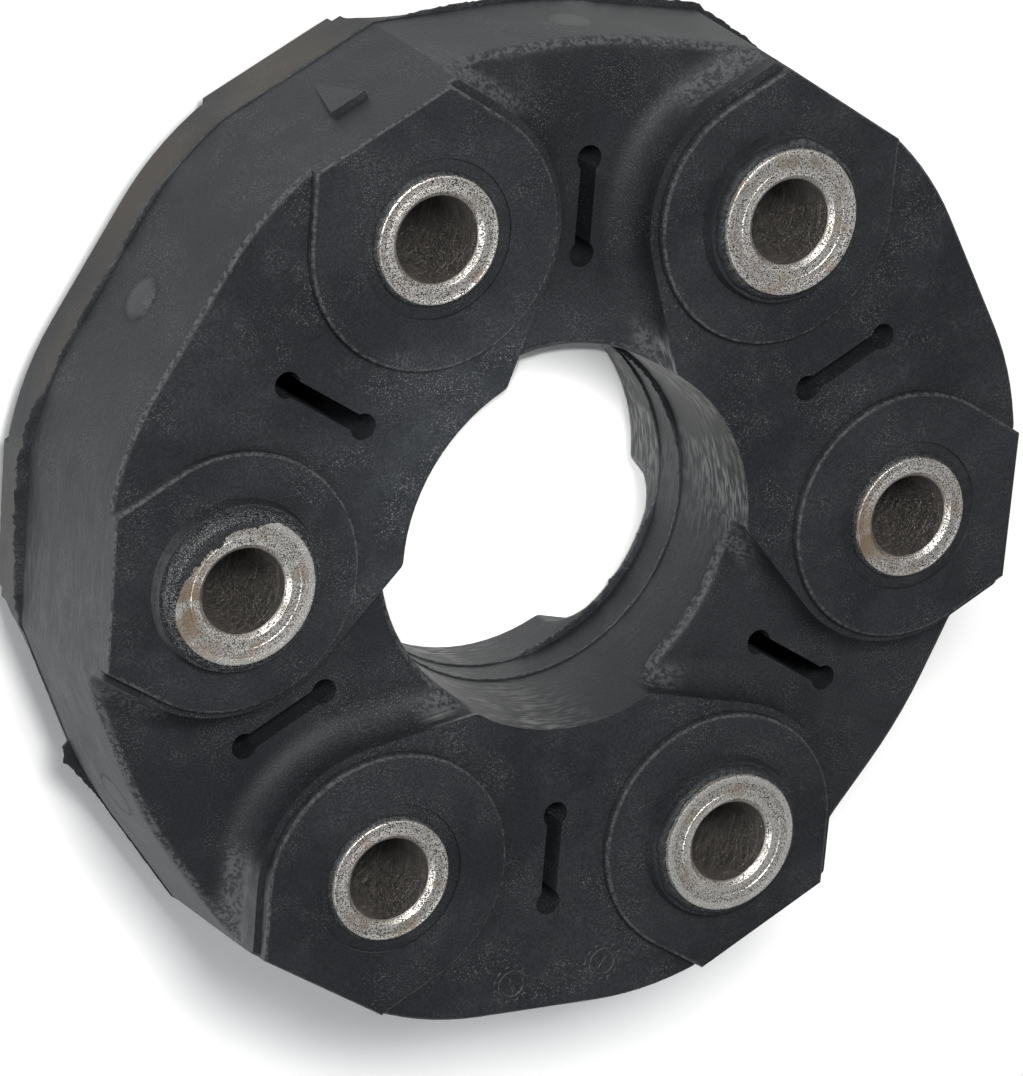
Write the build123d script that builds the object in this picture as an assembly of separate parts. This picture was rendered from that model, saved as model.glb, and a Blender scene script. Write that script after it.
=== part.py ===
"""Flexible disc coupling for a propeller shaft: a moulded rubber disc with six steel bolt bushes.

Frame: +Z is the shaft axis, the origin is on it, half way between the two faces, and +X passes
through bush 1. All sizes are in millimetres.

The disc has six bosses, one round each bush. Between them it is thick in the three drive spans
and thin in the three coast spans, alike on both faces. Cord loops are wound round neighbouring
bushes inside the rubber: two in each drive span and a single one in each coast span.
"""
import os
from math import acos, cos, degrees, hypot, radians, sin, sqrt, tan

from build123d import *

# Bolt circle and bushes
bush_count = 6
bolt_circle_radius = 52.5
bush_sleeve_radius = 10.25
bush_wall = 4.25
bush_nose_shoulder = 1.4
bush_chamfer = 0.7
bush_edge_break = 0.25

# Cord loops and the rings that guide them
loop_thickness = 4.4
coast_loop_width = 11.2
drive_loop_width = 7.6
ring_thickness = 0.8
ring_overhang = 0.6

# Steps of height from the cord loops out to the bush ends, alike on both faces
coast_cover = 4.8
drive_cover = 1.6
boss_step = 1.5
nose_stand = 0.7
head_stand = 3.3

# Rim, measured at the parting line of the mould
parting_height = -7.5
rim_draft = 3.4
rim_cover = 4.85
boss_flat_margin = 1.75
boss_flat_overrun = 1.4
drive_flat_depth = 1.6
drive_blend_margin = 1.1
coast_rim_step = 1.9

# Central hole, narrowest in a plain band that ends at the parting line
hole_cover = 10.95
hole_draft = 2.0
hole_band = 6.0

# Bosses
boss_wall = 2.95
boss_side_angle = 60.0
boss_apex_offset = 0.35
ledge_width = 1.15

# Rubber round the bush ends
nose_recess_width = 2.15
nose_recess_depth = 0.4
head_collar_width = 1.85
head_collar_slope = 0.4
head_collar_height = 1.7

# Slot through the middle of each span, measured from the line between its two bushes
slot_outer_reach = 7.6
slot_inner_reach = 5.7
slot_lobe_radius = 1.85
slot_width = 2.4

# Roundings of the moulding
pocket_floor_fillet = 4.5
coast_rim_fillet = 1.8
coast_hole_fillet = 1.6
drive_rim_fillet = 0.8
boss_edge_fillet = 0.45

# Round pips on the rim, one in the middle of each span, and the wedge that marks bush 3
pip_radius = 3.2
pip_height = 0.5
pip_offset = 9.5
wedge_bush = 3
wedge_width = 5.5
wedge_length = 11.0
wedge_height = 1.0
wedge_step_height = 8.4

# How far cutters reach past what they cut
overshoot = 5.0

# Worked out from the above
span_angle = 360 / bush_count
bush_angles = [span_angle * i for i in range(bush_count)]
drive_angles = [a + span_angle / 2 for a in bush_angles[0::2]]
coast_angles = [a + span_angle / 2 for a in bush_angles[1::2]]
span_centre = bolt_circle_radius * cos(radians(span_angle / 2))
bolt_bore_radius = bush_sleeve_radius - bush_wall
bush_nose_radius = bush_sleeve_radius - bush_nose_shoulder
loop_outer_radius = bush_sleeve_radius + loop_thickness
guide_ring_radius = loop_outer_radius + ring_overhang
boss_radius = guide_ring_radius + boss_wall
spacer_height = coast_loop_width / 2
drive_loop_height = spacer_height + ring_thickness
end_ring_height = drive_loop_height + drive_loop_width
sleeve_end_height = end_ring_height + ring_thickness
coast_face_height = spacer_height + coast_cover
drive_face_height = sleeve_end_height + drive_cover
boss_face_height = drive_face_height + boss_step
nose_face_height = boss_face_height + nose_stand
head_face_height = boss_face_height + head_stand
rim_radius = bolt_circle_radius + guide_ring_radius + rim_cover
side_slope = 1 / tan(radians(boss_side_angle))
flat_end = side_slope * (bolt_circle_radius + boss_radius / cos(radians(boss_side_angle))) + boss_flat_margin
boss_flat_distance = (side_slope * flat_end + sqrt((1 + side_slope ** 2) * rim_radius ** 2
                                                   - flat_end ** 2)) / (1 + side_slope ** 2)
drive_flat_distance = rim_radius - drive_flat_depth
coast_rim_radius = rim_radius - coast_rim_step
hole_radius = bolt_circle_radius - guide_ring_radius - hole_cover
ledge_radius = boss_radius + ledge_width
boss_inner_angle = 180 - degrees(acos(ledge_radius / (bolt_circle_radius - hole_radius - boss_apex_offset)))
floor_fillet = min(pocket_floor_fillet, 0.45 * (bolt_circle_radius - 2 * ledge_radius))
clear_of_part = rim_radius + 4 * overshoot


def polar(radius, angle):
    """Point in the XY plane at a radius and an angle in degrees."""
    return (radius * cos(radians(angle)), radius * sin(radians(angle)))


def at_bush(shape, angle):
    """Shape modelled round the Z axis, with +X outwards, moved to the bush at this angle."""
    return Rot(0, 0, angle) * Pos(bolt_circle_radius, 0, 0) * shape


def faces_up(index):
    """Bushes are turned over in turn, so every second one has its head on the +Z face."""
    return index % 2 == 1


def turned(x, y, angle):
    """Point (x, y) turned about the origin by an angle in degrees."""
    c, s = cos(radians(angle)), sin(radians(angle))
    return (x * c - y * s, x * s + y * c)


def rim_outline():
    """Rim at the parting line: a flat at each boss, a waisted drive span, a smaller coast span."""
    boss_half = degrees(acos(boss_flat_distance / rim_radius))
    ledge_tip = bolt_circle_radius + ledge_radius / cos(radians(boss_side_angle))
    ledge_reach = (ledge_tip - boss_flat_distance) / tan(radians(boss_side_angle))
    corner_radius = hypot(boss_flat_distance, ledge_reach + boss_flat_overrun)
    corner_half = degrees(acos(boss_flat_distance / corner_radius))
    coast_half = span_angle / 2 - corner_half - degrees(acos(coast_rim_radius / corner_radius))
    arc_end = span_angle / 2 - boss_half
    blend_angle = arc_end - drive_blend_margin
    flare = cos(radians(blend_angle))
    blend = (drive_flat_distance - rim_radius * flare) / (1 - flare)
    blend_y = (rim_radius - blend) * sin(radians(blend_angle))
    blend_mid = (drive_flat_distance - blend + blend * cos(radians(blend_angle / 2)),
                 blend_y + blend * sin(radians(blend_angle / 2)))

    with BuildSketch() as outline:
        with BuildLine():
            for drive, coast in zip(drive_angles, coast_angles):
                for side in (1, -1):
                    flat_end = turned(drive_flat_distance, side * blend_y, drive)
                    blend_end = polar(rim_radius, drive + side * blend_angle)
                    ThreePointArc(flat_end, turned(blend_mid[0], side * blend_mid[1], drive), blend_end)
                    ThreePointArc(blend_end, polar(rim_radius, drive + side * (blend_angle + arc_end) / 2),
                                  polar(rim_radius, drive + side * arc_end))
                    corner = polar(corner_radius, coast + side * (span_angle / 2 - corner_half))
                    Line(corner, polar(coast_rim_radius, coast + side * coast_half))
                    Line(corner, polar(rim_radius, coast + side * (span_angle / 2 + boss_half)))
                Line(turned(drive_flat_distance, -blend_y, drive),
                     turned(drive_flat_distance, blend_y, drive))
                ThreePointArc(polar(coast_rim_radius, coast - coast_half), polar(coast_rim_radius, coast),
                              polar(coast_rim_radius, coast + coast_half))
        make_face()
    return outline.sketch


def boss_outline(radius, inwards):
    """Boss in plan round the bush axis: a circle whose sides run on, tangent, to the rim.

    With inwards set they also run on to the central hole, as the wall of a coast pocket does.
    """
    def wedge(angle):
        touch = polar(radius, angle)
        apex = (radius / cos(radians(angle)), 0)
        return make_face(Polyline((0, 0), touch, apex, (touch[0], -touch[1]), close=True))

    outline = Circle(radius) + wedge(boss_side_angle)
    return outline + wedge(boss_inner_angle) if inwards else outline


def all_bosses(radius, inwards=False):
    outline = boss_outline(radius, inwards)
    return Sketch() + [at_bush(outline, a) for a in bush_angles]


def drafted_disc(height):
    """Drafted disc with its faces at this height, in two halves that meet at the parting line."""
    upper = extrude(rim_outline(), height - parting_height, taper=rim_draft)
    lower = extrude(rim_outline(), height + parting_height, taper=rim_draft)
    return Pos(0, 0, parting_height) * (upper + mirror(lower, about=Plane.XY))


def blank():
    """Disc up to the drive faces with the bosses standing on it, the edges of both rounded."""
    disc = drafted_disc(drive_face_height)
    disc = fillet(edges_at(disc, drive_face_height, 0, clear_of_part), drive_rim_fillet)
    bosses = drafted_disc(boss_face_height) & extrude(all_bosses(boss_radius), boss_face_height, both=True)
    return disc + fillet(edges_at(bosses, boss_face_height, 0, clear_of_part), boss_edge_fillet)


def hole_cutter():
    """Central hole, wider towards both faces from the plain band in its middle."""
    reach = boss_face_height + overshoot
    band_top = parting_height + hole_band
    slope = tan(radians(hole_draft))
    top = hole_radius + slope * (reach - band_top)
    bottom = hole_radius + slope * (reach + parting_height)
    profile = Polyline((0, -reach), (bottom, -reach), (hole_radius, parting_height),
                       (hole_radius, band_top), (top, reach), (0, reach), close=True)
    return revolve(Plane.XZ * make_face(profile), Axis.Z)


def coast_sector(angle):
    """Coast span in plan, between the walls of its two neighbouring bosses."""
    half = span_angle / 2
    reach = clear_of_part / cos(radians(half))
    wedge = make_face(Polyline((0, 0), polar(reach, angle - half), polar(reach, angle + half),
                               close=True))
    return wedge - all_bosses(ledge_radius, inwards=True)


def coast_pocket(angle):
    """Cutter for one coast span on the upper face, with its floor rounded up to the walls."""
    depth = boss_face_height + overshoot - coast_face_height
    cutter = extrude(Pos(0, 0, coast_face_height) * coast_sector(angle), depth)
    floor = cutter.faces().sort_by(Axis.Z)[0]
    return fillet(floor.edges(), floor_fillet)


def slot(angle):
    """Slot through the middle of a span, with a round lobe at each end."""
    outer, inner = span_centre + slot_outer_reach, span_centre - slot_inner_reach
    plan = Pos((outer + inner) / 2, 0) * Rectangle(outer - inner, slot_width)
    plan += Pos(outer, 0) * Circle(slot_lobe_radius)
    plan += Pos(inner, 0) * Circle(slot_lobe_radius)
    return Rot(0, 0, angle) * extrude(plan, boss_face_height, both=True)


def bush():
    """Turned steel sleeve with its head up: the bolt bore runs through, the nose is smaller."""
    profile = Polyline(
        (bolt_bore_radius, -nose_face_height + bush_chamfer),
        (bolt_bore_radius + bush_chamfer, -nose_face_height),
        (bush_nose_radius - bush_edge_break, -nose_face_height),
        (bush_nose_radius, -nose_face_height + bush_edge_break),
        (bush_nose_radius, -sleeve_end_height),
        (bush_sleeve_radius, -sleeve_end_height),
        (bush_sleeve_radius, head_face_height - bush_edge_break),
        (bush_sleeve_radius - bush_edge_break, head_face_height),
        (bolt_bore_radius + bush_chamfer, head_face_height),
        (bolt_bore_radius, head_face_height - bush_chamfer),
        close=True)
    return revolve(Plane.XZ * make_face(profile), Axis.Z)


def guide_ring(height):
    """Flat ring on a bush sleeve that keeps neighbouring cord loops apart."""
    plan = Circle(guide_ring_radius) - Circle(bush_sleeve_radius)
    return extrude(Pos(0, 0, height) * plan, ring_thickness)


def cord_loop(angle, bottom, width):
    """Endless cord package wound round the two bushes on either side of a span."""
    half = radians(span_angle / 2)
    centre, reach = bolt_circle_radius * cos(half), 2 * bolt_circle_radius * sin(half)

    def track(radius):
        return SlotCenterToCenter(reach, 2 * radius, rotation=90)

    plan = track(loop_outer_radius) - track(bush_sleeve_radius)
    return Rot(0, 0, angle) * Pos(centre, 0, bottom) * extrude(plan, width)


def head_collar():
    """Rubber lip round a bush head, on the boss face."""
    radius, top = bush_sleeve_radius + head_collar_width, boss_face_height + head_collar_height
    profile = Polyline((0, 0), (radius, 0), (radius, boss_face_height),
                       (radius - head_collar_slope, top), (0, top), close=True)
    return revolve(Plane.XZ * make_face(profile), Axis.Z)


def nose_recess():
    """Cutter for the shallow ring round a bush nose."""
    plan = Circle(bush_nose_radius + nose_recess_width)
    return extrude(Pos(0, 0, boss_face_height - nose_recess_depth) * plan, overshoot)


def rim_distance(at_parting, height):
    """Distance of a drafted rim face from the axis at a height, from its distance at parting."""
    return at_parting - tan(radians(rim_draft)) * abs(height - parting_height)


def rim_pip(angle, at_parting):
    """Shallow round pip on the rim, just above the parting line: a ball cut down to its cap."""
    ball_radius = (pip_radius ** 2 + pip_height ** 2) / (2 * pip_height)
    height = parting_height + pip_offset
    face = rim_distance(at_parting, height)
    ball = Pos(face + pip_height - ball_radius, 0, height) * Sphere(ball_radius)
    core = Pos(face, 0, height) * Rot(0, 90, 0) * Cylinder(1.5 * pip_radius, 4 * pip_height)
    return Rot(0, 0, angle) * (ball & core)


def rim_wedge():
    """Triangular mark on a boss flat that rises from its point to a step facing +Z."""
    point_height = wedge_step_height - wedge_length
    foot = rim_distance(boss_flat_distance, wedge_step_height) - wedge_height
    start = rim_distance(boss_flat_distance, point_height)
    top = rim_distance(boss_flat_distance, wedge_step_height) + wedge_height
    side = make_face(Polyline((foot, point_height), (start, point_height), (top, wedge_step_height),
                              (foot, wedge_step_height), close=True))
    front = make_face(Polyline((0, point_height), (wedge_width / 2, wedge_step_height),
                               (-wedge_width / 2, wedge_step_height), close=True))
    ramp = extrude(Plane.XZ * side, wedge_width, both=True)
    triangle = extrude(Plane.YZ * front, clear_of_part)
    return Rot(0, 0, bush_angles[wedge_bush - 1]) * (ramp & triangle)


def outer_shape():
    """Outside of the rubber moulding, before anything is moulded in."""
    body = blank() - hole_cutter()
    top_cuts = [coast_pocket(a) for a in coast_angles]
    body -= top_cuts
    body -= [mirror(cutter, about=Plane.XY) for cutter in top_cuts]
    return body


def edges_at(body, height, inside, outside):
    """Edges that lie flat at this height on either face, between two distances from the axis."""
    found = ShapeList()
    for edge in body.edges():
        box, middle = edge.bounding_box(), edge.position_at(0.5)
        distance = (middle.X ** 2 + middle.Y ** 2) ** 0.5
        if box.size.Z < 0.01 and abs(abs(box.min.Z) - height) < 0.01 and inside < distance < outside:
            found.append(edge)
    return found


def rounded_shape():
    """Outside of the moulding with the edges of its coast spans rounded too."""
    hole_edge = hole_radius + tan(radians(hole_draft)) * (coast_face_height - parting_height)
    rim_zone = bolt_circle_radius + boss_radius * cos(radians(boss_side_angle)) + ledge_width
    body = outer_shape()
    for height, inside, outside, radius in (
            (coast_face_height, rim_zone, clear_of_part, coast_rim_fillet),
            (coast_face_height, 0, hole_edge + ledge_width, coast_hole_fillet)):
        body = fillet(edges_at(body, height, inside, outside), radius)
    return body


def moulded_in():
    """Everything that the rubber is moulded round, by name."""
    found = {}
    for index, angle in enumerate(bush_angles):
        sleeve = bush() if faces_up(index) else mirror(bush(), about=Plane.XY)
        found[f"bush_{index + 1}"] = at_bush(sleeve, angle)
    for index, angle in enumerate(bush_angles):
        for name, height in (("front_end_ring", end_ring_height),
                             ("front_spacer_ring", spacer_height),
                             ("rear_spacer_ring", -spacer_height - ring_thickness),
                             ("rear_end_ring", -end_ring_height - ring_thickness)):
            found[f"{name}_{index + 1}"] = at_bush(guide_ring(height), angle)
    for index, (drive, coast) in enumerate(zip(drive_angles, coast_angles)):
        front, rear = drive_loop_height, -drive_loop_height - drive_loop_width
        found[f"front_drive_loop_{index + 1}"] = cord_loop(drive, front, drive_loop_width)
        found[f"rear_drive_loop_{index + 1}"] = cord_loop(drive, rear, drive_loop_width)
        found[f"coast_loop_{index + 1}"] = cord_loop(coast, -spacer_height, coast_loop_width)
    return found


def rubber_body(inserts):
    """The moulding, with a seat for everything that is moulded into it."""
    body = rounded_shape() + rim_wedge()
    body += [rim_pip(a, drive_flat_distance) for a in drive_angles]
    body += [rim_pip(a, coast_rim_radius) for a in coast_angles]
    for index, angle in enumerate(bush_angles):
        head, nose = at_bush(head_collar(), angle), at_bush(nose_recess(), angle)
        if faces_up(index):
            nose = mirror(nose, about=Plane.XY)
        else:
            head = mirror(head, about=Plane.XY)
        body = body + head - nose
    for angle in drive_angles + coast_angles:
        body -= slot(angle)
    body -= list(inserts.values())
    through = Cylinder(bolt_bore_radius + bush_chamfer, 2 * clear_of_part)
    return body - [at_bush(through, angle) for angle in bush_angles]


inserts = moulded_in()
pieces = {"rubber_body": rubber_body(inserts), **inserts}

os.makedirs("parts", exist_ok=True)
for name, piece in pieces.items():
    piece.label = name
    export_step(piece, f"parts/{name}.step")
    print(name, len(piece.solids()), "solid", round(piece.volume), "mm3")
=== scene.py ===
from math import cos, pi, radians, sin

import bmesh
import bpy
import numpy as np
from mathutils import Matrix, Vector


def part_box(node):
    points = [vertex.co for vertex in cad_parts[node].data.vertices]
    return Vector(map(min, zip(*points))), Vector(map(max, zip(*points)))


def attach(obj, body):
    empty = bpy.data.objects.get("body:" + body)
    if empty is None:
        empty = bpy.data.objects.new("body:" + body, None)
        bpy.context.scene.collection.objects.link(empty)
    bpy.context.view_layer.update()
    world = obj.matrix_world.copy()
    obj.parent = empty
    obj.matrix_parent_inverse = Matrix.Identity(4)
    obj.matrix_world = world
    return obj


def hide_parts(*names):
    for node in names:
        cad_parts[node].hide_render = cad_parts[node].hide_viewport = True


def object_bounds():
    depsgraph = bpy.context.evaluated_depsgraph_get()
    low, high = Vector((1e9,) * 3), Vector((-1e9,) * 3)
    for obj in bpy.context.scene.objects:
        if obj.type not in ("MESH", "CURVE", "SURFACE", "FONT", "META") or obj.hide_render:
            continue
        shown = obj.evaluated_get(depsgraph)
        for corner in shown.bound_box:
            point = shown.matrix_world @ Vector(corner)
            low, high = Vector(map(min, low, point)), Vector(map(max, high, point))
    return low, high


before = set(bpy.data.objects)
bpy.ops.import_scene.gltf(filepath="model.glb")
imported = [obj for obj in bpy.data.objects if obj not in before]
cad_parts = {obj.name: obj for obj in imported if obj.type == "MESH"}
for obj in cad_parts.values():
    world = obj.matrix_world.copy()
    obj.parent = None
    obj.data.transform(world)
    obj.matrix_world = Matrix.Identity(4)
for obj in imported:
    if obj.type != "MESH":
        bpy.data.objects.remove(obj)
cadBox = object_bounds()
mm = 0.001

# The photograph's view of the disc, measured from the disc's own axis
view = dict(frameWidth=1023, frameHeight=1076, focalPixels=4914.0, tiltFromAxis=34.585, azimuth=145.253,
            roll=-4.663, distance=669.9, aimPixel=(586.4, 550.6), aimHeight=18.6, sensor=36.0)

# Heights of the moulding's faces and the places on it that the pieces below are set against, in mm
disc = dict(bolts=6, bossFace=17.9, driveFace=16.4, coastFace=10.4, parting=-7.5, holeBand=-1.5,
            bossRadius=18.2, pip=2.0)

bushLow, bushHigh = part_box("bush_1")
boltCircle = (bushLow.x + bushHigh.x) / 2 / mm
sleeveRadius = (bushHigh.y - bushLow.y) / 2 / mm
noseRadius = sleeveRadius - 1.4
boreRadius = 6.0
headHeight = cadBox[1].z / mm
noseHeight = bushHigh.z / mm


def bushAngle(number):
    return radians(360 / disc["bolts"] * (number - 1))


def headUp(number):
    return number % 2 == 0


# A point or an array of points turned about the disc's axis
def turned(x, y, angle):
    return x * cos(angle) - y * sin(angle), x * sin(angle) + y * cos(angle)


# Smooth random waves along one direction: sines of whole wave numbers with random phases, so a ring closes
def waves(angle, counts, strength, seed):
    chance = np.random.default_rng(seed)
    total = np.zeros_like(angle)
    for count in counts:
        total += chance.uniform(0.5, 1) * np.sin(count * angle + chance.uniform(0, 2 * pi))
    return strength * total / len(counts) ** 0.5


# Random numbers on a ring of knots, joined by straight lines, for torn edges
def torn(angle, knots, seed):
    chance = np.random.default_rng(seed)
    values = chance.uniform(0, 1, knots)
    return np.interp(angle % (2 * pi), np.arange(knots + 1) / knots * 2 * pi, np.append(values, values[0]))


# A grid of points (rows, columns, 3) in mm becomes a mesh; either way round may close on itself
def gridPiece(name, points, closeRows, closeColumns, look, smoothAngle=40):
    rows, columns = points.shape[:2]
    r = np.arange(rows if closeRows else rows - 1)[:, None]
    c = np.arange(columns if closeColumns else columns - 1)[None, :]
    rNext, cNext = (r + 1) % rows, (c + 1) % columns
    quads = np.stack([r * columns + c, rNext * columns + c, rNext * columns + cNext, r * columns + cNext], -1)
    mesh = bpy.data.meshes.new(name)
    mesh.from_pydata((points.reshape(-1, 3) * mm).tolist(), [], quads.reshape(-1, 4).tolist())
    return finishPiece(name, mesh, look, smoothAngle)


# Normals outwards, doubles merged, smooth but for edges sharper than the angle
def finishPiece(name, mesh, look, smoothAngle):
    shape = bmesh.new()
    shape.from_mesh(mesh)
    bmesh.ops.remove_doubles(shape, verts=shape.verts, dist=0.001 * mm)
    bmesh.ops.recalc_face_normals(shape, faces=shape.faces)
    shape.to_mesh(mesh)
    shape.free()
    mesh.shade_smooth()
    mesh.set_sharp_from_angle(angle=radians(smoothAngle))
    mesh.materials.append(look)
    piece = bpy.data.objects.new(name, mesh)
    bpy.context.scene.collection.objects.link(piece)
    return piece


# Every piece of the part rides the one rigid body, and the solids it stands for are hidden
def onCoupling(piece, slotName, *stoodFor):
    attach(piece, "root")
    if stoodFor:
        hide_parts(*stoodFor)
    return piece


# Shader maths: a socket that adds and multiplies like a number


class Value:
    def __init__(self, look, socket):
        self.look, self.socket = look, socket

    def maths(self, operation, first, second=0.0):
        return self.look.node("Math", {"operation": operation}, {0: first, 1: second})

    def __add__(self, other):
        return self.maths("ADD", self, other)

    def __sub__(self, other):
        return self.maths("SUBTRACT", self, other)

    def __rsub__(self, other):
        return self.maths("SUBTRACT", other, self)

    def __mul__(self, other):
        return self.maths("MULTIPLY", self, other)

    def __pow__(self, other):
        return self.maths("POWER", self, other)

    __radd__, __rmul__ = __add__, __mul__

    def high(self, other):
        return self.maths("MAXIMUM", self, other)

    def size(self):
        return self.maths("ABSOLUTE", self)

    # 0 below low, 1 above high, smooth between
    def step(self, low, high):
        values = {"Value": self, "From Min": low, "From Max": high}
        return self.look.node("MapRange", {"interpolation_type": "SMOOTHSTEP"}, values)

    # 1 near the middle, 0 outside half a width from it
    def band(self, middle, halfWidth, soft):
        return 1 - (self - middle).size().step(halfWidth, halfWidth + soft)


class Look:
    def __init__(self, name, fixed):
        self.material = bpy.data.materials.new(name)
        self.material.use_nodes = True
        self.tree = self.material.node_tree
        self.tree.nodes.clear()
        self.shader = self.tree.nodes.new("ShaderNodeBsdfPrincipled")
        output = self.tree.nodes.new("ShaderNodeOutputMaterial")
        self.tree.links.new(self.shader.outputs[0], output.inputs[0])
        self.plug(self.shader, fixed)

    def plug(self, made, values):
        for name, value in values.items():
            if isinstance(value, Value):
                self.tree.links.new(value.socket, made.inputs[name])
            else:
                made.inputs[name].default_value = value

    # Any node: its type, its settings, its sockets' values or links, and which output is wanted
    def node(self, kind, settings, values, output=0):
        made = self.tree.nodes.new("ShaderNode" + kind)
        for name, value in settings.items():
            setattr(made, name, value)
        self.plug(made, values)
        return Value(self, made.outputs[output])

    def place(self):
        coords = self.node("TexCoord", {}, {}, "Object")
        return self.node("VectorMath", {"operation": "SCALE"}, {0: coords, "Scale": 1 / mm})

    def angle(self, y, x):
        return self.node("Math", {"operation": "ARCTAN2"}, {0: y, 1: x})

    def attribute(self, name, output="Fac"):
        return self.node("Attribute", {"attribute_name": name}, {}, output)

    def axes(self, vector):
        return [self.node("SeparateXYZ", {}, {0: vector}, axis) for axis in "XYZ"]

    def vector(self, x, y, z):
        return self.node("CombineXYZ", {}, {0: x, 1: y, 2: z})

    # Noise from 0 to 1 with features of about this size in mm; stretch makes them longer along an axis
    def noise(self, place, size, detail=3.0, rough=0.55, stretch=(1, 1, 1)):
        scale = tuple(1 / (size * s) for s in stretch)
        spot = self.node("VectorMath", {"operation": "MULTIPLY"}, {0: place, 1: scale})
        values = {"Vector": spot, "Scale": 1.0, "Detail": detail, "Roughness": rough}
        return self.node("TexNoise", {}, values)

    def mix(self, factor, first, second):
        return self.node("Mix", {"data_type": "RGBA"}, {0: factor, 6: first, 7: second}, 2)

    # Relief whose height socket is in mm
    def bump(self, height):
        return self.node("Bump", {}, {"Strength": 1.0, "Distance": mm, "Height": height})


def grey(level):
    return (level, level, level, 1)


# The moulded rubber

# Colours, gloss, sizes of the marks in mm and depths of the relief in mm. The pale dust colour also paints
# light on the lower rim and on the pips, and the worn colour also paints a highlight along the boss outline
rubberFinish = dict(
    dark=(0.0115, 0.0132, 0.0155, 1), light=(0.0200, 0.0222, 0.0250, 1), black=(0.0040, 0.0043, 0.0047, 1),
    dustAndPaintedLight=(0.108, 0.112, 0.116, 1), boreFilm=(0.155, 0.157, 0.158, 1), brown=(0.034, 0.028, 0.021, 1),
    chalk=(0.30, 0.30, 0.30, 1), wornAndHighlight=(0.085, 0.088, 0.090, 1),
    roughness=0.54, filmRoughness=0.80, specular=0.19,
    broadSize=20, patchSize=8, clusterSize=7, brushedSize=3.2, streakSize=0.8, wearSize=0.7, grainSize=0.36,
    saltSize=0.17, swellSize=7, swellDepth=0.15, grainDepth=0.035, saltDepth=0.04,
    pipRadius=3.2, edgeWidth=0.10, edgeInset=0.22)
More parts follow.
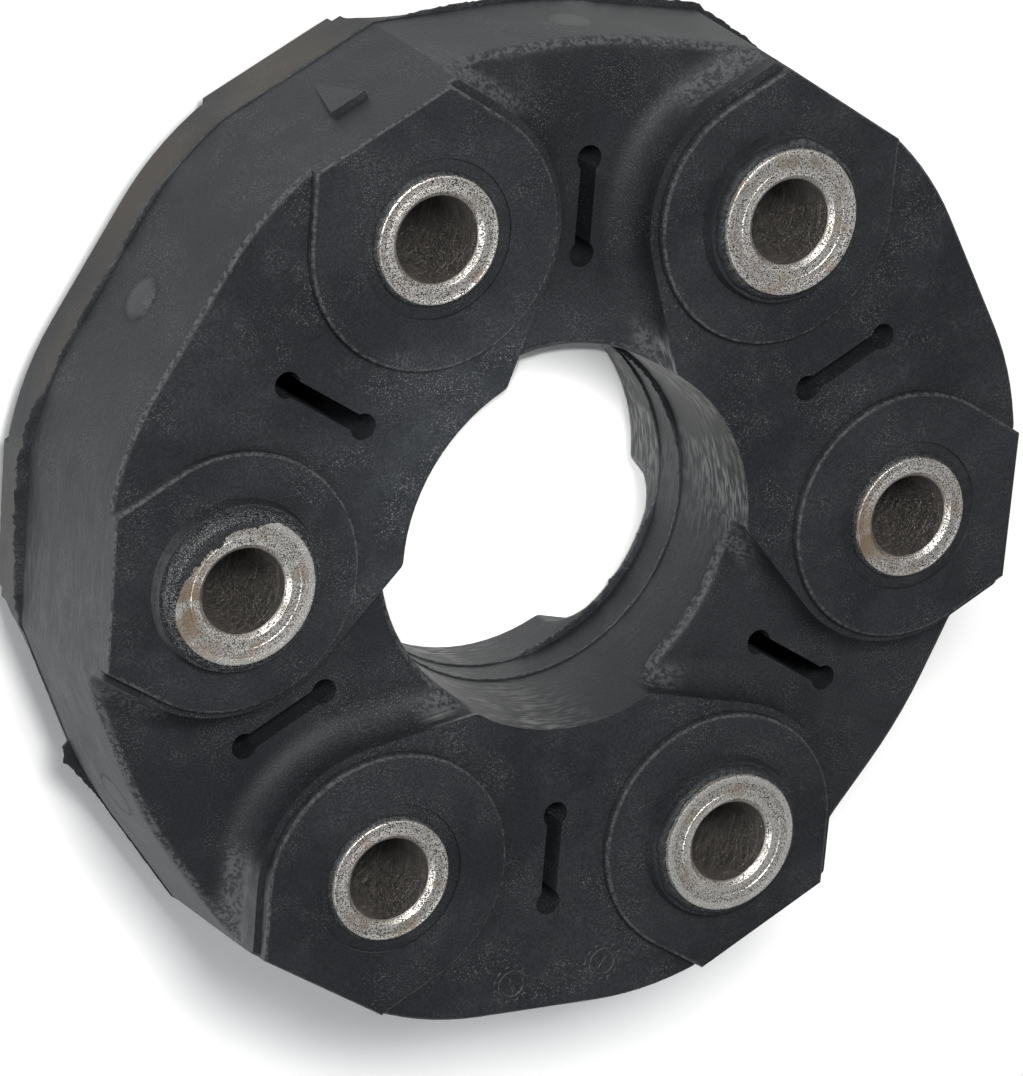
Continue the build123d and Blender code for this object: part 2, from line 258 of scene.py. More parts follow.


# Masks come first: side faces by the slope of the surface, rim and hole by the distance from the axis, and
# the places round a bush by folding the angle to the nearest of the six. Then patches, dust, wear and specks
# are mixed over each other, with painted light among them: the rim's dust is paler towards its lower half,
# the boss outline gets a painted highlight, and the pips a painted highlight and a ring of painted shade.
# Three noises are summed into the relief
def rubberLook():
    f = rubberFinish
    look = Look("mouldedRubber", {"Specular IOR Level": f["specular"]})
    place = look.place()
    x, y, z = look.axes(place)
    radius = (x * x + y * y) ** 0.5
    along = look.vector(look.angle(y * -1.0, x * -1.0) * radius, z, 0.0)  # unrolled, its seam out of sight
    level = look.axes(look.node("TexCoord", {}, {}, "Normal"))[2].size()
    side = 1 - level.step(0.25, 0.6)
    outer = radius.step(60, 64)
    inner = 1 - radius.step(29, 33)
    rim, bore = side * outer, side * inner

    # Distance from the nearest bush's axis, less the radius of the steel that shows on this face
    bush = look.node("Math", {"operation": "ROUND"}, {0: look.angle(y, x) * (disc["bolts"] / (2 * pi))})
    fold = look.angle(y, x) - bush * (2 * pi / disc["bolts"])
    localX = radius * look.node("Math", {"operation": "COSINE"}, {0: fold}) - boltCircle
    localY = radius * look.node("Math", {"operation": "SINE"}, {0: fold})
    odd = look.node("Math", {"operation": "MODULO"}, {0: bush.size(), 1: 2.0})
    isHead = 1 - (z.step(-1, 1) - odd).size()
    local = (localX * localX + localY * localY) ** 0.5
    gap = local - noseRadius - isHead * (sleeveRadius - noseRadius)
    onBoss = z.size().step(disc["bossFace"] - 1.2, disc["bossFace"] - 0.7)
    roughest = bush.size().step(2.4, 2.6)  # the left bush has the most torn rubber round it
    crumbs = (1 - gap.step(0.1, 0.9 + 1.1 * roughest)) * onBoss * (0.45 + 0.55 * roughest)
    crumbs = crumbs * (0.20 + 0.80 * gap.step(-1.1, -0.2))

    # Distance from the bush's axis to the boss's outline: a circle whose sides run on as straight lines
    straight = (3 ** 0.5 * localX - localY.size()).step(0.0, 0.1)
    outline = local + straight * (cos(pi / 3) * localX + sin(pi / 3) * localY.size() - local)
    # Pale band along the boss outline: worn rubber and a painted highlight on its rounded edge
    bossEdgeWearAndHighlight = outline.band(disc["bossRadius"] - f["edgeInset"], f["edgeWidth"], 0.22) * onBoss

    broad = look.noise(place, f["broadSize"], 0)
    patches = look.noise(place, f["patchSize"], 2, 0.6)
    grain = look.noise(place, f["grainSize"], 0)
    streaks = look.noise(along, f["streakSize"], 1, 0.8, (4.5, 1, 1))
    brushed = look.noise(along, f["brushedSize"], 1, 0.6, (4, 1, 1))
    salt = look.noise(place, f["saltSize"], 0)

    colour = look.mix((0.45 * broad + 0.55 * patches).step(0.35, 0.65), f["dark"], f["light"])
    colour = look.mix(0.35 * grain.step(0.60, 0.40), colour, f["black"])
    rear = rim * (1 - z.step(disc["parting"] - 1, disc["parting"] + 0.3))
    colour = look.mix(rear * broad.step(0.35, 0.6) * 0.75, colour, f["brown"])

    # Pale dust and painted light: streaky dust on the rim, paler towards its lower half, that paling being
    # painted light, and, in the hole, dust on the side away from the lower right
    low = 1 - y.step(-22, 34)
    away = 1 - ((x - y) * 0.5 ** 0.5 * radius ** -1.0).step(0.50, 0.92)
    dusty = (0.50 + 0.32 * streaks.step(0.38, 0.66)) * (0.65 + 0.35 * brushed.step(0.3, 0.7))
    dustAndPaintedLight = (rim * (0.02 + 0.98 * low) * dusty).high(patches.step(0.58, 0.80) * grain.step(0.45, 0.7) * 0.16)
    colour = look.mix(dustAndPaintedLight, colour, f["dustAndPaintedLight"])
    byHeight = 0.22 + 0.78 * z.step(-4, 13).high(0.7 * (1 - z.step(-9, -6)))
    boreDust = bore * (0.04 + 0.96 * away) * byHeight
    boreDust = boreDust * (0.03 + 0.97 * streaks.step(0.42, 0.62)) * (0.15 + 0.85 * patches.step(0.40, 0.58))
    colour = look.mix(boreDust, colour, f["boreFilm"])

    # Pips: a painted highlight on their faces and a ring of painted shade round their edges, for the light
    # and shade of their low relief
    pip = (((pi / disc["bolts"] - fold.size()) * radius) ** 2.0 + (z - disc["pip"]) ** 2.0) ** 0.5
    colour = look.mix(rim * (1 - pip.step(2.0, 3.3)) * 0.20, colour, f["dustAndPaintedLight"])
    colour = look.mix(rim * pip.band(f["pipRadius"] + 0.1, f["edgeWidth"], 0.35) * 0.5, colour, f["black"])
    # Pale edges: worn rubber along the rounded rim and hole edges, and along the boss outline also a painted
    # highlight
    edge = level.step(0.09, 0.35) * (1 - level.step(0.80, 0.98)) * (outer + inner)
    broken = 0.15 + 0.85 * look.noise(place, f["wearSize"], 1, 0.75).step(0.40, 0.60)
    wearAndHighlight = edge.high(bossEdgeWearAndHighlight * 0.75) * broken
    colour = look.mix(wearAndHighlight * 0.60, colour, f["wornAndHighlight"])
    clusters = look.noise(place, f["clusterSize"], 1, 0.6).step(0.44, 0.70)
    specks = salt.step(0.66, 0.76) * (0.10 + 0.90 * clusters) * (1 - bore) * 0.6
    specks = specks.high(crumbs * salt.step(0.56, 0.66) * 0.85)
    colour = look.mix(specks * 0.42, colour, f["chalk"])
    colour = look.mix(crumbs * salt.step(0.50, 0.42) * 0.8, colour, f["black"])

    dull = (f["filmRoughness"] - f["roughness"]) * dustAndPaintedLight.high(wearAndHighlight * 0.6)
    rough = f["roughness"] + 0.10 * (patches - 0.5) + dull
    swell = look.noise(place, f["swellSize"], 0)
    relief = f["swellDepth"] * swell + f["grainDepth"] * grain + f["saltDepth"] * salt
    look.plug(look.shader, {"Base Color": colour, "Roughness": rough, "Normal": look.bump(relief)})
    return look.material


bodyShape = dict(longestEdge=3.6, weld=0.002, sharpFrom=32, samePlane=0.99998, rounds=7, ringReach=15.3)


# Faces in one plane that touch make a patch; each face is told its patch, each patch its normal and area
def markPatches(shape, samePlane):
    layer = shape.faces.layers.int.new("patch")
    seen, normals, areas = set(), [], []
    for seed in shape.faces:
        if seed in seen:
            continue
        seen.add(seed)
        waiting, area = [seed], 0.0
        while waiting:
            face = waiting.pop()
            face[layer] = len(normals)
            area += face.calc_area()
            for edge in face.edges:
                for other in edge.link_faces:
                    if other not in seen and other.normal.dot(seed.normal) > samePlane:
                        seen.add(other)
                        waiting.append(other)
        normals.append(tuple(seed.normal))
        areas.append(area)
    return np.array(normals), np.array(areas)


# Normal of a corner: the mean of the patches that meet there within the sharp angle, weighted by area,
# so a flat face stays flat up to its rounded edge
def smoothByPatch(mesh, normals, areas, sharpFrom):
    corners, faces = len(mesh.loops), len(mesh.polygons)
    vertex, sides, patch = (np.zeros(n, np.int64) for n in (corners, faces, faces))
    mesh.loops.foreach_get("vertex_index", vertex)
    mesh.polygons.foreach_get("loop_total", sides)
    mesh.attributes["patch"].data.foreach_get("value", patch)
    pairs, corner = np.unique(vertex * len(areas) + np.repeat(patch, sides), return_inverse=True)
    at, which = pairs // len(areas), pairs % len(areas)
    first = np.searchsorted(at, at)
    count = np.searchsorted(at, at, "right") - first
    i = np.repeat(np.arange(len(pairs)), count)
    j = first[i] + np.arange(len(i)) - np.repeat(np.cumsum(count) - count, count)
    normal, other = normals[which[i]], normals[which[j]]
    weight = areas[which[j]] * ((normal * other).sum(1) > cos(radians(sharpFrom)))
    mean = np.stack([np.bincount(i, weight * other[:, k]) for k in range(3)], -1)
    mean /= np.linalg.norm(mean, axis=1)[:, None]
    mesh.attributes.remove(mesh.attributes["patch"])
    mesh.normals_split_custom_set(mean[corner].tolist())


# A finer copy of the solid: its doubles merged, and every edge that shows halved until it is short
def bodyPiece(look):
    b = bodyShape
    shape = bmesh.new()
    shape.from_mesh(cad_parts["rubber_body"].data)
    bmesh.ops.remove_doubles(shape, verts=shape.verts, dist=b["weld"] * mm)
    normals, areas = markPatches(shape, b["samePlane"])
    low, high = ((boltCircle + reach) * mm for reach in (-b["ringReach"], b["ringReach"]))

    def hidden(vertex):  # next to what is moulded in, where nothing is seen
        return low < vertex.co.xy.length < high and abs(vertex.co.z) < disc["coastFace"] * mm - 0.0001

    for _ in range(b["rounds"]):
        long = [e for e in shape.edges if e.calc_length() > b["longestEdge"] * mm
                and not (hidden(e.verts[0]) and hidden(e.verts[1]))]
        if not long:
            break
        bmesh.ops.subdivide_edges(shape, edges=long, cuts=1)
        bmesh.ops.triangulate(shape, faces=[f for f in shape.faces if len(f.verts) > 3])
    mesh = bpy.data.meshes.new("rubberBody")
    shape.to_mesh(mesh)
    shape.free()
    mesh.shade_smooth()
    smoothByPatch(mesh, normals, areas, b["sharpFrom"])
    mesh.materials.append(look)
    piece = bpy.data.objects.new("rubberBody", mesh)
    bpy.context.scene.collection.objects.link(piece)
    print("rubber body", len(mesh.polygons), "faces,", len(areas), "patches")
    return onCoupling(piece, "moulded_rubber", "rubber_body")


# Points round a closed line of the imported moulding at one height, evenly spaced, with outward directions
def ringAt(height, radiusLow, radiusHigh, count):
    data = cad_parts["rubber_body"].data
    co = np.zeros(len(data.vertices) * 3, np.float32)
    data.vertices.foreach_get("co", co)
    co = co.reshape(-1, 3) / mm
    radius = np.hypot(co[:, 0], co[:, 1])
    near = co[(abs(co[:, 2] - height) < 0.02) & (radius > radiusLow) & (radius < radiusHigh)]
    near = near[np.argsort(np.arctan2(near[:, 1], near[:, 0]))]
    loop = np.vstack([near, near[:1]])[:, :2]
    length = np.append(0, np.cumsum(np.hypot(*np.diff(loop, axis=0).T)))
    spot = np.linspace(0, length[-1], count, endpoint=False)
    points = np.stack([np.interp(spot, length, loop[:, k]) for k in range(2)], -1)
    tangent = np.roll(points, -2, 0) - np.roll(points, 2, 0)
    tangent /= np.hypot(*tangent.T)[:, None]
    return points, np.stack([tangent[:, 1], -tangent[:, 0]], -1)


# Reach of the flash round the disc: pairs of an angle in degrees and a length in mm, joined by lines
rimFlash = dict(count=3600, thickness=0.30, seed=11, reach=[
    (0, 0.25), (58, 0.25), (62, 0.7), (70, 1.0), (82, 1.1), (84, 0.3), (88, 0.9), (104, 0.8), (107, 0.25),
    (137, 0.25), (139, 0.8), (146, 0.9), (147, 0.35), (150, 0.8), (160, 0.9), (162, 0.5), (163.5, 0.6),
    (165, 1.4), (172, 1.9), (186, 1.8), (189, 1.0), (191, 0.22), (205.4, 0.2), (205.8, 1.5), (207.6, 2.1),
    (210, 1.3), (213, 0.4), (214, 0.22), (262, 0.25), (266, 0.6), (283, 0.6), (286, 0.25), (318, 0.25),
    (322, 0.9), (338, 0.9), (341, 0.25), (360, 0.25)])
holeFlash = dict(count=1500, thickness=0.28, seed=5, reach=[
    (0, 0.15), (20, 0.5), (60, 0.3), (100, 0.5), (150, 0.6), (160, 0.2), (205, 0.4), (280, 0.3), (288, 1.0),
    (315, 1.3), (346, 1.1), (352, 0.2), (360, 0.15)])
holeLine = dict(count=1500, thickness=0.26, seed=8, reach=[
    (0, 0.35), (12, 0.45), (30, 0.8), (58, 0.7), (70, 0.35), (200, 0.3), (230, 0.35), (300, 0.3),
    (360, 0.35)])


# How far the fin stands out at each angle: the reach above, made ragged by torn noise at three widths
def flashReach(angle, flash):
    steps, sizes = zip(*flash["reach"])
    reach = np.interp(np.degrees(angle) % 360, steps, sizes)
    seed = flash["seed"]
    return reach * (0.50 + 0.30 * torn(angle, 90, seed) + 0.25 * torn(angle, 310, seed + 1)
                    + 0.25 * torn(angle, 900, seed + 2))


# The flash: a thin fin swept round the parting line, its section a tapered leaf
def flashPiece(name, flash, height, radiusLow, radiusHigh, outward, look):
    points, normal = ringAt(height, radiusLow, radiusHigh, flash["count"])
    normal *= outward
    angle = np.arctan2(points[:, 1], points[:, 0])
    reach = flashReach(angle, flash)
    thick = flash["thickness"] * (0.75 + 0.5 * torn(angle, 150, flash["seed"] + 3))
    droop = waves(angle, (3, 7, 17, 41, 90), 0.12, flash["seed"])
    droop += 0.25 * (torn(angle, 200, flash["seed"] + 4) - 0.5)
    across = np.array([-0.5, 0.55, 0.95, 1.0, 0.9, 0.5, -0.5])
    upward = np.array([-1.0, -0.8, -0.5, 0.0, 0.45, 0.8, 1.0])
    out = np.where(across < 0, across, across * reach[:, None])
    lift = upward * thick[:, None] / 2 + (np.clip(across, 0, 1) * (droop * reach)[:, None])
    grid = np.concatenate([points[:, None, :] + normal[:, None, :] * out[..., None],
                           (height + lift)[..., None]], -1)
    return onCoupling(gridPiece(name, grid, True, True, look, 50), "moulded_rubber")


# The bushes

steelFinish = dict(
    bright=(1.0, 0.955, 0.895, 1), mid=(0.95, 0.91, 0.86, 1), pit=(0.022, 0.020, 0.018, 1),
    rust=(0.34, 0.25, 0.165, 1), boreShadeTint=(0.26, 0.243, 0.228, 1), roughness=0.40,
    grainSize=0.14, coarseSize=0.32, patchSize=3.5, ringDepth=0.04, pitDepth=0.045)


# Turned and pitted steel. The rings follow the radius from the bush's own axis, the pits are two noises with
# a hard threshold, the bands that are turned bright keep few pits, and the bore is darker with long
# scratches, its dark tint being painted shade in the hollow
def steelLook():
    f = steelFinish
    look = Look("turnedSteel", {"Metallic": 1.0})
    x, y, z = look.axes(look.attribute("local", "Vector"))
    radius = (x * x + y * y) ** 0.5
    place = look.place()
    inBore = 1 - radius.step(boreRadius + 0.05, boreRadius + 0.25)
    rings = look.noise(look.vector(radius * 3.0, 0.0, z * 3.0), 1.0, 2, 0.7)
    grain = look.noise(place, f["grainSize"], 0)
    coarse = look.noise(place, f["coarseSize"], 1, 0.65)
    patch = look.noise(place, f["patchSize"], 1, 0.6)
    band = look.attribute("bright")
    pits = (0.62 * grain + 0.38 * coarse + 0.14 * (rings - 0.5)).step(0.42, 0.50)
    clean = (0.04 + 0.96 * pits).high(band * (0.5 + 0.5 * grain.step(0.3, 0.5)))
    colour = look.mix(clean * (0.72 + 0.32 * rings), f["pit"], f["bright"])
    tarnish = patch.step(0.52, 0.70) * 0.45 * (1 - band)
    tarnish = tarnish.high(look.attribute("tarnish") * patch.step(0.30, 0.55))
    colour = look.mix(tarnish, colour, f["rust"])
    helix = look.vector(z * 2.2 + x * 0.7, x * 0.25, y * 0.25)
    scratches = look.noise(helix, 1.0, 2, 0.7).step(0.50, 0.66)
    # Inside the bore, a dark tint that paints the shade of the hollow, with pale scratches
    colour = look.mix(inBore, colour, look.mix(scratches * 0.22, f["boreShadeTint"], f["mid"]))
    rough = f["roughness"] + 0.22 * (1 - pits) - 0.12 * band
    relief = f["ringDepth"] * rings + f["pitDepth"] * pits * (1 - 0.7 * band)
    look.plug(look.shader, {"Base Color": colour, "Roughness": rough, "Normal": look.bump(relief)})
    return look.material


# Bands are pairs of a radius and a step in height in mm, bright bands a radius and a half width, tarnish the
# angle in degrees round the bush where it is deepest
bushForm = dict(
    turns=160, chamfer=0.7, edgeBreak=0.25, edgeSoft=0.08, sleeveEnd=14.8, sunk=0.02, unevenness=0.02,
    headBands=[(6.95, 0.0), (7.75, 0.0), (7.85, -0.10), (8.05, -0.10), (8.15, -0.02), (9.15, -0.02),
               (9.25, 0.02), (9.85, 0.02)],
    noseBands=[(6.95, 0.0), (7.35, 0.0), (7.45, -0.05), (8.35, -0.05), (8.45, 0.0)],
    bright={4: [(9.62, 0.42)], 6: [(7.3, 0.42), (9.62, 0.42)]}, brightness=0.75,
    tarnish={4: 190, 1: 200}, tarnishSpread=70)


# Half section of a bush, as radius and height: up the bore, over the head, down the sleeve, under the nose
def bushProfile():
    b = bushForm
    top, bottom = headHeight, -noseHeight
    soft = b["edgeSoft"]
    profile = [(boreRadius, bottom + b["chamfer"])]
    profile += [(boreRadius, z) for z in np.linspace(bottom + 3, top - 3, 9)]
    profile += [(boreRadius, top - b["chamfer"]), (boreRadius + b["chamfer"], top)]
    profile += [(radius, top + step - b["sunk"]) for radius, step in b["headBands"]]
    profile += [(sleeveRadius - b["edgeBreak"], top), (sleeveRadius - soft, top - 0.07),
                (sleeveRadius, top - b["edgeBreak"]), (sleeveRadius, -b["sleeveEnd"])]
    profile += [(noseRadius, -b["sleeveEnd"]), (noseRadius, bottom + b["edgeBreak"]),
                (noseRadius - soft, bottom + 0.07), (noseRadius - b["edgeBreak"], bottom)]
    profile += [(radius, bottom - step + b["sunk"]) for radius, step in b["noseBands"][::-1]]
    return np.array(profile + [(boreRadius + b["chamfer"], bottom)])


# Places from the bush's own axis, where its end is turned bright, and how tarnished it is by the angle
def markBush(number, mesh):
    b = bushForm
    co = np.zeros(len(mesh.vertices) * 3, np.float32)
    mesh.vertices.foreach_get("co", co)
    co = co.reshape(-1, 3) / mm
    co[:, :2] -= turned(boltCircle, 0.0, bushAngle(number))
    own = mesh.attributes.new("local", "FLOAT_VECTOR", "POINT")
    own.data.foreach_set("vector", co.ravel())
    away = np.hypot(co[:, 0], co[:, 1])
    band = np.zeros(len(away), np.float32)
    for middle, half in b["bright"].get(number, []):
        inBand = (abs(away - middle) < half) & (co[:, 2] > b["sleeveEnd"])
        band = np.maximum(band, b["brightness"] * inBand)
    turnedTo = np.degrees(np.arctan2(co[:, 1], co[:, 0])) % 360
    fromDeepest = abs((turnedTo - b["tarnish"].get(number, 0) + 180) % 360 - 180)
    share = np.clip(1 - fromDeepest / b["tarnishSpread"], 0, 1) * (number in b["tarnish"])
    for attribute, values in (("bright", band), ("tarnish", share)):
        made = mesh.attributes.new(attribute, "FLOAT", "POINT")
        made.data.foreach_set("value", values.astype(np.float32))


# A bush: the half section turned round its axis, its end faces a little uneven, every other one turned over
def bushPiece(number, look):
    b = bushForm
    turn = np.linspace(0, 2 * pi, b["turns"], endpoint=False)[:, None]
    radius, height = bushProfile().T[:, None, :]
    onFace = (radius > boreRadius + 0.1) & (abs(height) > b["sleeveEnd"])
    height = height + b["unevenness"] * (torn(turn, 70, 20 + number) - 0.5) * onFace
    x, y = turned(radius * np.cos(turn) + boltCircle, radius * np.sin(turn), bushAngle(number))
    grid = np.stack([x, y, height * (1 if headUp(number) else -1)], -1)
    piece = gridPiece(f"bush{number}", grid, True, True, look, 30)
    markBush(number, piece.data)
    return onCoupling(piece, "bush_steel", f"bush_{number}")


# Small rubber pieces round the bushes

collar = dict(turns=260, steps=9, head=dict(foot=1.55, tall=1.15, wide=1.0),
              nose=dict(foot=-0.5, tall=0.75, wide=0.55))


# Torn rubber lip that climbs the steel: a quarter ellipse turned round the bush, its height and width uneven
def lipPiece(number, frontSide, look):
    isHead = headUp(number) == frontSide
    form = collar["head" if isHead else "nose"]
    inner = sleeveRadius if isHead else noseRadius
    foot = disc["bossFace"] + form["foot"]
    turn = np.linspace(0, 2 * pi, collar["turns"], endpoint=False)
    seed = 40 + 2 * number + frontSide
    tall = 0.75 + 0.20 * torn(turn, 46, seed) + 0.25 * torn(turn, 170, seed + 60)
    wide = 0.65 + 0.40 * torn(turn, 34, seed + 90) + 0.25 * torn(turn, 120, seed + 30)
    tall, wide = (form[key] * share[:, None] for key, share in (("tall", tall), ("wide", wide)))
    arc = np.linspace(0, pi / 2, collar["steps"])
    flat = np.ones_like(tall)
    arcRadius, arcHeight = inner - 0.02 + wide * np.sin(arc), foot + tall * np.cos(arc)
    radius = np.hstack([inner - 0.3 * flat, inner - 0.1 * flat, arcRadius, inner + wide])
    height = np.hstack([foot - 0.3 * flat, foot + 0.8 * tall, arcHeight, foot - 0.3 * flat])
    x, y = radius * np.cos(turn[:, None]) + boltCircle, radius * np.sin(turn[:, None])
    grid = np.stack([*turned(x, y, bushAngle(number)), height * (1 if frontSide else -1)], -1)
    name = f"{'front' if frontSide else 'rear'}Lip{number}"
    return onCoupling(gridPiece(name, grid, True, True, look, 50), "moulded_rubber")


slotWeb = dict(inner=5.7, outer=7.6, lobe=1.85, halfWidth=1.2, bite=0.2, thickness=0.5, wave=0.12, across=9,
               length=60)


# Thin skin that closes a slot at the parting line: as wide as the slot at each place along it, gently waved
def webPiece(number, look):
    w = slotWeb
    middle = boltCircle * cos(pi / disc["bolts"])
    centres = np.array([[middle - w["inner"]], [middle + w["outer"]]])
    lobe = w["lobe"] + w["bite"]
    x = np.linspace(centres[0, 0] - lobe, centres[1, 0] + lobe, w["length"])
    lobes = np.sqrt(np.clip(lobe ** 2 - (x - centres) ** 2, 0, None)).max(0)
    between = (x > centres[0, 0]) & (x < centres[1, 0])
    half = np.maximum(lobes, between * (w["halfWidth"] + w["bite"])) + 0.01
    across = np.linspace(-1, 1, w["across"])
    y = half[:, None] * np.hstack([across, across[::-1]])
    lift = np.hstack([np.ones(w["across"]), -np.ones(w["across"])]) * w["thickness"] / 2
    z = disc["parting"] + lift + w["wave"] * np.sin(3 * x[:, None] + 2 * y + number)
    grid = np.stack([*turned(x[:, None], y, bushAngle(number) + pi / disc["bolts"]), z], -1)
    grid[[0, -1]] = grid[[0, -1]].mean(1, keepdims=True)
    return onCoupling(gridPiece(f"slotWeb{number}", grid, False, True, look, 50), "moulded_rubber")


smear = dict(bush=4, columns=30, rows=420, thickness=0.10,
             reach=[(62, 0.0), (72, 0.5), (84, 1.5), (100, 1.2), (120, 2.1), (140, 2.3), (158, 1.6),
                    (170, 0.9), (186, 0.35), (196, 0.0)])


# Film of rubber smeared over part of a bush's head, from the collar in to a torn line that the reach gives
def smearPiece(look):
    s = smear
    steps, sizes = zip(*s["reach"])
    turn = np.radians(np.linspace(steps[0], steps[-1], s["rows"]))
    reach = np.interp(np.degrees(turn), steps, sizes)
    ragged = 0.62 + 0.30 * torn(turn, 50, 71) + 0.28 * torn(turn, 170, 72) + 0.22 * torn(turn, 520, 74)
    outer = sleeveRadius + 0.5
    edge = sleeveRadius + 0.1 - reach * ragged
    across = np.linspace(0, 1, s["columns"])
    radius = outer + (edge[:, None] - outer) * across
    lump = 0.6 + 0.5 * torn(turn, 90, 73)[:, None] + 0.25 * np.sin(9 * across + 30 * turn[:, None])
    thinning = np.clip(5 * (1 - across) ** 0.5, 0, 1) * np.clip(reach / 0.6, 0, 1)[:, None]
    thick = s["thickness"] * lump * thinning
    height = headHeight - 0.03 + thick - 0.5 * np.clip(radius - sleeveRadius + 0.15, 0, 1)
    under = np.stack([radius[:, ::-1], height[:, ::-1] - thick[:, ::-1] - 0.05], -1)
    ring = np.concatenate([np.stack([radius, height], -1), under], 1)
    ring[[0, -1]] = ring[[0, -1]].mean(1, keepdims=True)
    x, y = turned(boltCircle, 0.0, bushAngle(s["bush"]))
    x, y = x + ring[..., 0] * np.cos(turn[:, None]), y + ring[..., 0] * np.sin(turn[:, None])
    grid = np.stack([x, y, ring[..., 1]], -1)
    return onCoupling(gridPiece("rubberSmear", grid, False, True, look, 60), "moulded_rubber")


stamps = [dict(name="stampOne", at=(-4.65, -65.1), turn=20),
          dict(name="stampTwo", at=(9.88, -63.61), turn=-35)]
stampForm = dict(radius=3.3, raised=0.16, rings=44, turns=240, circle=1.95, circleWidth=0.28, teeth=12,
                 toothFrom=2.35, toothTo=3.1)


# A mould's stamp: a disc whose height over radius and angle is a circle, teeth round it and a pointer
def stampPiece(stamp, look):
    s = stampForm
    radius = np.linspace(0.001, s["radius"], s["rings"])[None, :]
    turn = np.linspace(0, 2 * pi, s["turns"], endpoint=False)[:, None]
    ridge = np.exp(-((radius - s["circle"]) / s["circleWidth"]) ** 4)
    tooth = np.clip(np.cos(s["teeth"] * turn) * 3 + 0.2, 0, 1)
    tooth = tooth * np.clip((radius - s["toothFrom"]) * 6, 0, 1) * np.clip((s["toothTo"] - radius) * 6, 0, 1)
    x, y = radius * np.cos(turn), radius * np.sin(turn)
    shaft = np.exp(-(x / 0.22) ** 4) * (abs(y) < 1.1)
    tip = np.clip(1 - (abs(x) + (y - 0.35)) / 0.55, 0, 1) * (y > 0.25)
    height = s["raised"] * np.clip(ridge + tooth + 0.8 * shaft + tip, 0, 1) * np.ones_like(radius)
    height = height * (radius < s["radius"] * 0.985) - 0.03
    x, y = turned(x, y, radians(stamp["turn"]))
    grid = np.stack([stamp["at"][0] + x, stamp["at"][1] + y, disc["driveFace"] + height], -1)
    base = grid.copy()
    base[..., 2] = disc["driveFace"] - 0.2
    grid = np.concatenate([grid, base[:, ::-1]], 1)
    return onCoupling(gridPiece(stamp["name"], grid, True, True, look, 60), "moulded_rubber")


# Hidden pieces keep their solids and get plain real finishes

ringFinish = dict(dark=(0.30, 0.30, 0.30, 1), light=(0.52, 0.51, 0.50, 1), roughness=0.4, cloudSize=2.0,
                  depth=0.05)
cordFinish = dict(dark=(0.42, 0.38, 0.30, 1), light=(0.74, 0.70, 0.60, 1), roughness=0.75, turnsPerMm=9.0,
                  depth=0.12)


# Cold-rolled steel, mottled by one noise and dimpled by a finer one
def ringLook():
    f = ringFinish
    look = Look("ringSteel", {"Metallic": 1.0})
    place = look.place()
    cloud = look.noise(place, f["cloudSize"], 4, 0.6)
    colour = look.mix(cloud.step(0.35, 0.65), f["dark"], f["light"])
    look.plug(look.shader, {"Base Color": colour, "Roughness": f["roughness"] + 0.2 * (cloud - 0.5),
                            "Normal": look.bump(f["depth"] * look.noise(place, f["cloudSize"] / 4, 3))})
    return look.material


# Cord wound in layers: a sine over the height for the turns, noise for its twist
def cordLook():
    f = cordFinish
    look = Look("woundCord", {"Metallic": 0.0})
    place = look.place()
    x, y, z = look.axes(place)
    turns = look.node("Math", {"operation": "SINE"}, {0: z * f["turnsPerMm"]})
    twist = look.noise(place, 0.4, 2)
    colour = look.mix((0.5 + 0.5 * turns) * twist, f["dark"], f["light"])
    look.plug(look.shader, {"Base Color": colour, "Roughness": f["roughness"] + 0.15 * twist,
                            "Normal": look.bump(f["depth"] * turns)})
    return look.material


# Floor, lights and camera

stageForm = dict(floorHalf=1400, floorDrop=0.02, floorTone=0.93, world=0.34, sky=(0.93, 0.96, 1.0, 1))
lights = [
    dict(name="key", azimuth=119, elevation=57, distance=760, size=(205, 205), power=6.9,
         colour=(1.0, 0.985, 0.965)),
    dict(name="leftPanel", azimuth=196, elevation=26, distance=620, size=(240, 420), power=1.35,
         colour=(0.97, 0.985, 1.0)),
]


# A narrow lamp from the camera's side brightens the floor that is seen through the hole
holeLamp = dict(azimuth=145, tilt=34.6, distance=900, aim=13.5, cone=2.9, blend=0.25, power=46.0, radius=12)


# Nearly even pale paper
def floorLook():
    s = stageForm
    look = Look("paleFloor", {"Specular IOR Level": 0.15})
    cloud = look.noise(look.place(), 180, 2)
    tone = look.mix(cloud, grey(s["floorTone"] - 0.01), grey(s["floorTone"] + 0.01))
    look.plug(look.shader, {"Base Color": tone, "Roughness": 0.75 + 0.05 * cloud})
    return look.material


# Stands a lamp at a place, shining at a target
def placeLamp(lamp, spot, target):
    holder = bpy.data.objects.new(lamp.name, lamp)
    turn = (target - spot).to_track_quat("-Z", "Y").to_matrix().to_4x4()
    holder.matrix_world = Matrix.Translation(spot) @ turn
    bpy.context.scene.collection.objects.link(holder)


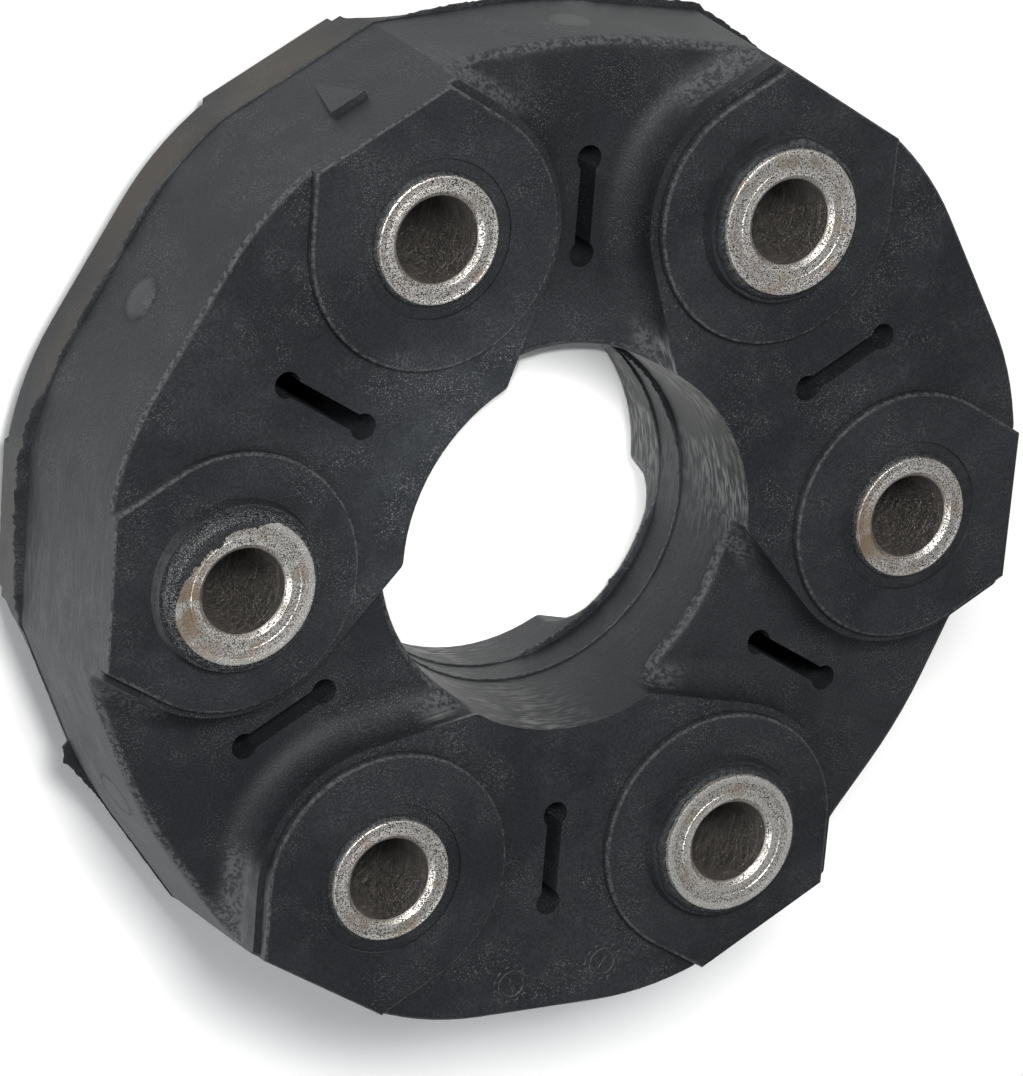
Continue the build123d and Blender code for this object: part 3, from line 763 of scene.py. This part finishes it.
def makeStage():
    s = stageForm
    h = s["floorHalf"]
    floor = np.array([[(-h, -h, 0), (h, -h, 0)], [(-h, h, 0), (h, h, 0)]], float)
    floor[..., 2] = cadBox[0].z / mm - s["floorDrop"]
    gridPiece("floor", floor, False, False, floorLook())
    world = bpy.data.worlds.new("studio")
    bpy.context.scene.world = world
    world.use_nodes = True
    back = world.node_tree.nodes["Background"]
    back.inputs["Color"].default_value = s["sky"]
    back.inputs["Strength"].default_value = s["world"]
    for light in lights:
        lamp = bpy.data.lights.new(light["name"], "AREA")
        lamp.shape = "RECTANGLE"
        lamp.size, lamp.size_y = (side * mm for side in light["size"])
        lamp.energy, lamp.color = light["power"], light["colour"]
        rise, turn = radians(light["elevation"]), radians(light["azimuth"])
        spot = Vector((cos(rise) * cos(turn), cos(rise) * sin(turn), sin(rise))) * light["distance"] * mm
        placeLamp(lamp, spot, Vector((0, 0, 0)))
    h = holeLamp
    lamp = bpy.data.lights.new("holeLamp", "SPOT")
    lamp.energy, lamp.spot_blend, lamp.shadow_soft_size = h["power"], h["blend"], h["radius"] * mm
    lamp.spot_size = radians(h["cone"])
    turn, tilt = radians(h["azimuth"]), radians(h["tilt"])
    aim = Vector((-cos(turn) * h["aim"] * mm, -sin(turn) * h["aim"] * mm, cadBox[0].z))
    away = Vector((sin(tilt) * cos(turn), sin(tilt) * sin(turn), cos(tilt)))
    placeLamp(lamp, aim + away * h["distance"] * mm, aim)


# The camera stands off the disc's axis at the photograph's tilt, azimuth and roll
def makeCamera():
    v = view
    tilt, azimuth, roll = (radians(v[k]) for k in ("tiltFromAxis", "azimuth", "roll"))
    forward = -Vector((sin(tilt) * cos(azimuth), sin(tilt) * sin(azimuth), cos(tilt)))
    right = forward.cross(Vector((0, 1, 0))).normalized()
    down = forward.cross(right)
    x = cos(roll) * right + sin(roll) * down
    y = -sin(roll) * right + cos(roll) * down
    offset = [(v["aimPixel"][k] - v[side] / 2) / v["focalPixels"] * v["distance"]
              for k, side in ((0, "frameWidth"), (1, "frameHeight"))]
    place = Vector((0, 0, v["aimHeight"])) - x * offset[0] - y * offset[1] - forward * v["distance"]
    data = bpy.data.cameras.new("camera")
    data.sensor_width = v["sensor"]
    data.lens = v["focalPixels"] / v["frameHeight"] * v["sensor"]
    data.clip_start, data.clip_end = 0.01, 10
    camera = bpy.data.objects.new("camera", data)
    axes = Matrix((x, -y, -forward)).transposed().to_4x4()
    camera.matrix_world = Matrix.Translation(place * mm) @ axes
    bpy.context.scene.collection.objects.link(camera)
    bpy.context.scene.camera = camera


scene = bpy.context.scene
scene.view_settings.view_transform = "Standard"
makeCamera()
makeStage()
print("stage and camera made")

rubber = rubberLook()
steel = steelLook()
bodyPiece(rubber)
flashPiece("rimFlash", rimFlash, disc["parting"], 60, 80, 1, rubber)
flashPiece("holeFlash", holeFlash, disc["parting"], 20, 32, -1, rubber)
flashPiece("holeLine", holeLine, disc["holeBand"], 20, 32, -1, rubber)
print("rubber made")

for number in range(1, disc["bolts"] + 1):
    bushPiece(number, steel)
    lipPiece(number, True, rubber)
    lipPiece(number, False, rubber)
    webPiece(number, rubber)
smearPiece(rubber)
for stamp in stamps:
    stampPiece(stamp, rubber)
print("bushes, lips and stamps made")

ring, cord = ringLook(), cordLook()
for name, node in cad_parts.items():
    if "_ring_" in name or "_loop_" in name:
        node.data.materials.clear()
        node.data.materials.append(ring if "_ring_" in name else cord)
print("hidden pieces finished")
